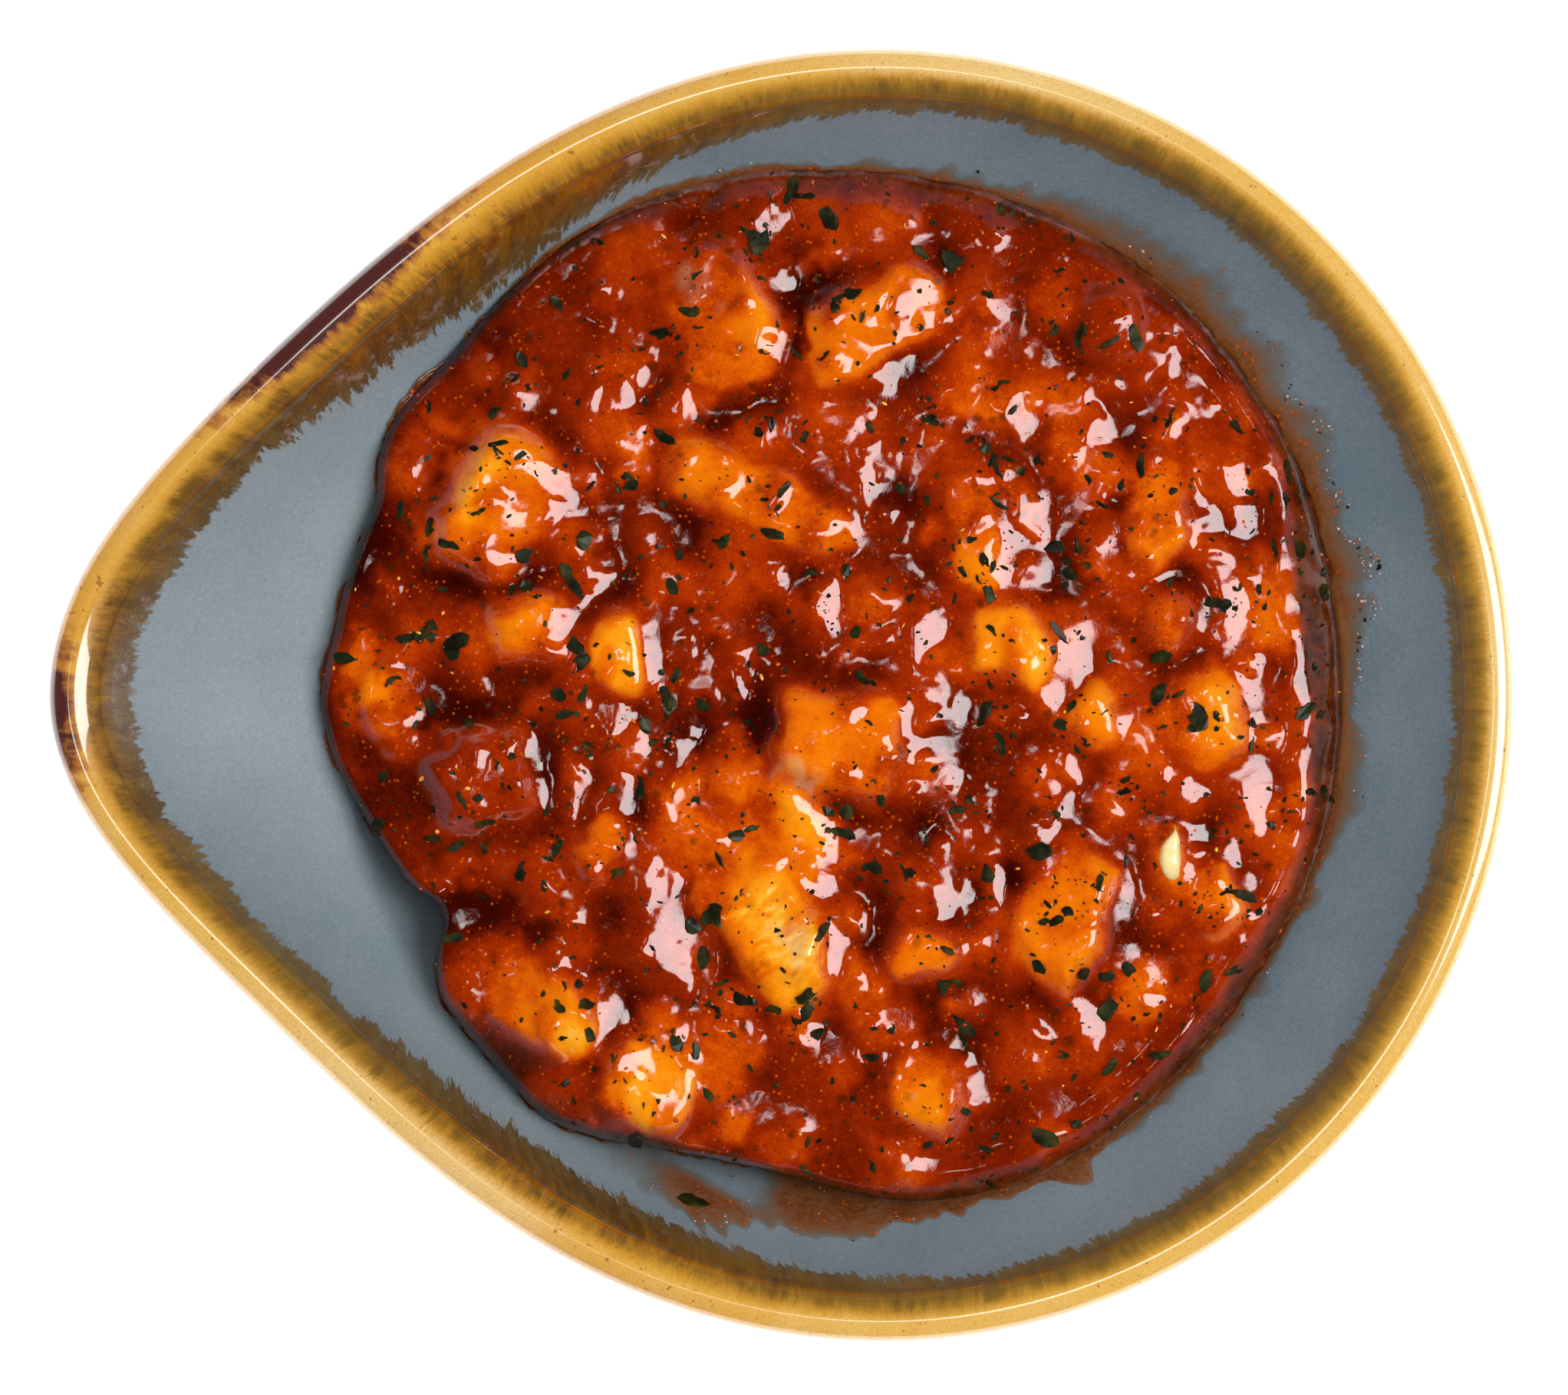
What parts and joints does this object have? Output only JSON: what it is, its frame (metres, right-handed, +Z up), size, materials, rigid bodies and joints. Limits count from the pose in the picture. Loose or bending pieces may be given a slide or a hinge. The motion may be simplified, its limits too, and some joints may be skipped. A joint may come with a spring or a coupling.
{
  "type": "bowl of spiced onion",
  "caption": "Tear-shaped glazed stoneware dip bowl with a rolled lip and foot ring, filled with chopped onion in a thick, glossy red-orange spiced sauce with dried herbs.",
  "frame": {"origin": "under the middle of the outline, on the surface the foot ring stands on", "axes": "+Z up, +X along the bowl's length with the tip at -X, +Y across its width"},
  "size_m": [0.1106, 0.0975, 0.032],
  "materials": {
    "glaze": "satin slate-blue glaze that breaks to cream, amber and rust brown on the lip",
    "sauce": "wet, glossy, thick red-orange sauce, darker where it is deep",
    "onion": "wet, translucent cooked onion, amber to yellow under a thin film of sauce"
  },
  "bodies": {
    "root": {"bowl": "glaze", "sauce": "sauce", "onion_wedge_left": "onion", "onion_chip_upper_left": "onion", "onion_dome_left": "onion", "onion_wedge_yellow": "onion", "onion_flat_edge": "onion", "onion_dome_large_left": "onion", "onion_leaf_top": "onion", "onion_finger_top": "onion", "onion_slice_upper": "onion", "onion_stick_right": "onion", "onion_block_right": "onion", "onion_block_centre": "onion", "onion_slice_long": "onion", "onion_wedge_small": "onion", "onion_arc_lower_right": "onion", "onion_sliver_white": "onion", "onion_ridge_right": "onion", "onion_dome_right": "onion", "onion_dome_small_right": "onion", "onion_curl_right": "onion", "onion_chip_right": "onion", "onion_dome_top_right": "onion", "onion_edge_lower_left": "onion", "onion_chunk_lower": "onion", "onion_chip_left": "onion", "onion_block_bottom": "onion"}
  },
  "joints": []
}
